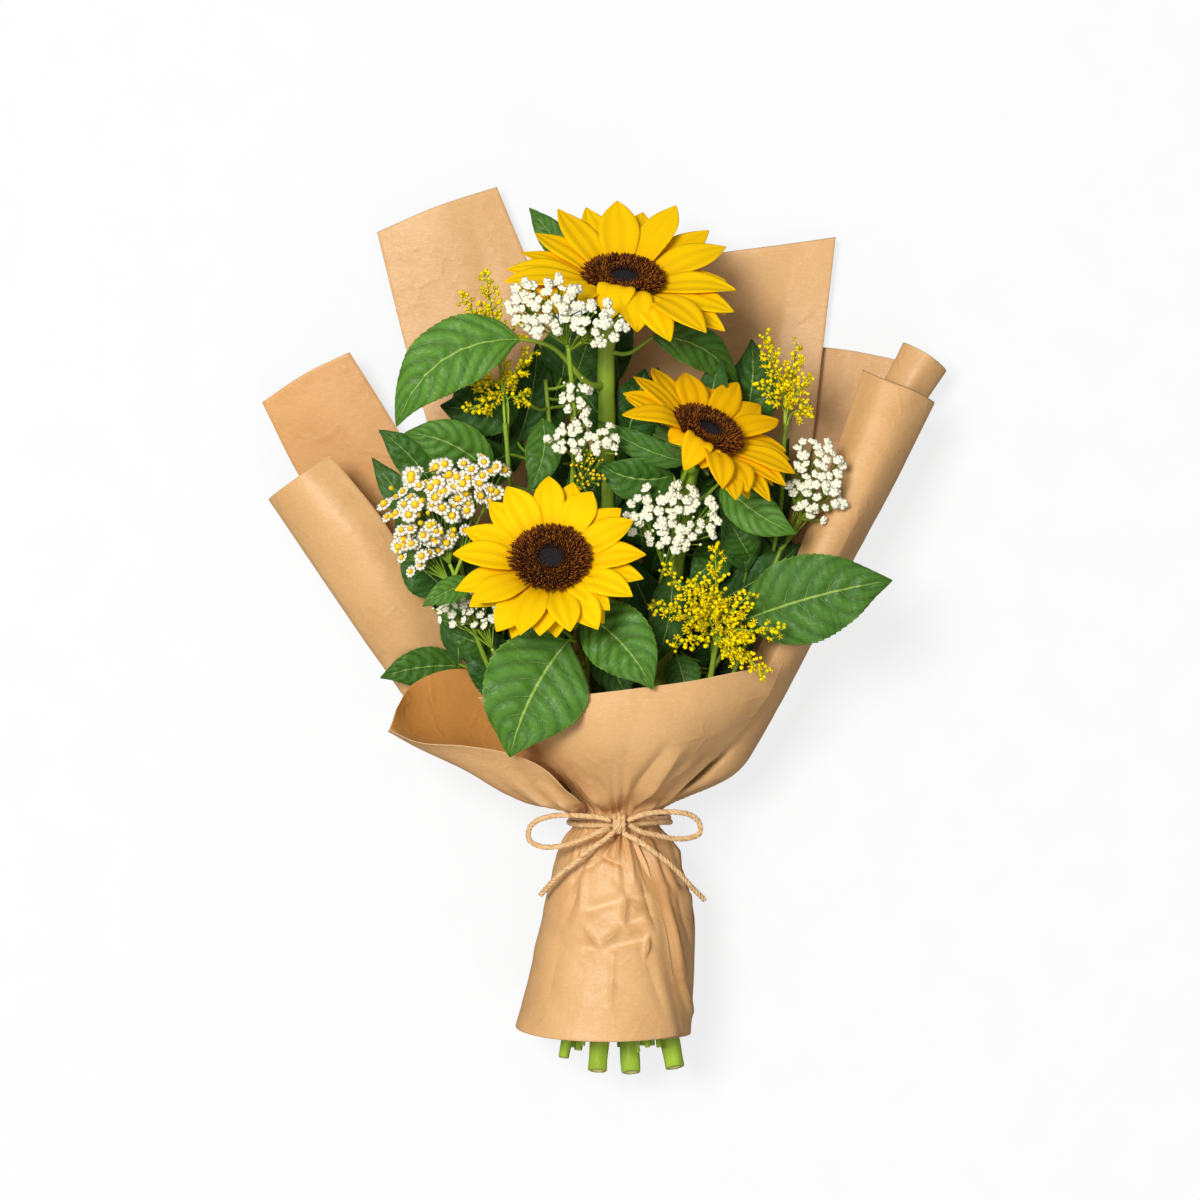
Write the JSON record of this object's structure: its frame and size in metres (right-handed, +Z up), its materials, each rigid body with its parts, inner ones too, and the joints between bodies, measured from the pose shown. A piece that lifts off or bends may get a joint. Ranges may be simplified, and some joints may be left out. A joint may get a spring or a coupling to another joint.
{
  "type": "bunch of sunflowers",
  "caption": "Bunch of sunflowers with small white and yellow flowers and leaves, wrapped in brown paper and tied with twine at the neck, lying on its back.",
  "frame": {"origin": "on the table under the middle of the bunch's box", "axes": "+Z up from the table that the bunch lies on, +Y from the cut stems to the blooms, +X to the right as seen from above with the blooms away"},
  "size_m": [0.435, 0.5634, 0.1883],
  "materials": {
    "petal": "satin",
    "disc": "matte",
    "stem": "satin",
    "white_flower": "matte",
    "goldenrod": "matte",
    "leaf": "satin",
    "kraft_paper": "matte",
    "twine": "matte"
  },
  "bodies": {
    "root": {"front_sunflower_petals": "petal", "right_sunflower_petals": "petal", "top_sunflower_petals": "petal", "front_sunflower_disc": "disc", "right_sunflower_disc": "disc", "top_sunflower_disc": "disc", "front_sunflower_stem": "stem", "right_sunflower_stem": "stem", "top_sunflower_stem": "stem", "chamomile_spray": "white_flower", "yarrow_spray": "white_flower", "white_spray_middle": "white_flower", "white_spray_right": "white_flower", "white_spray_low": "white_flower", "goldenrod_left": "goldenrod", "goldenrod_right": "goldenrod", "goldenrod_front": "goldenrod", "leafy_stem_left": "leaf", "leafy_stem_middle": "leaf", "leafy_stem_right": "leaf", "paper_front": "kraft_paper", "paper_left_flap": "kraft_paper", "paper_back_right": "kraft_paper", "paper_right_cone": "kraft_paper", "paper_back_left": "kraft_paper", "paper_back_roll": "kraft_paper", "paper_left_panel": "kraft_paper", "paper_left_roll": "kraft_paper", "twine_band": "twine", "twine_knot": "twine", "twine_loop_left": "twine", "twine_loop_right": "twine", "twine_tail_left": "twine", "twine_tail_right": "twine"}
  },
  "joints": []
}
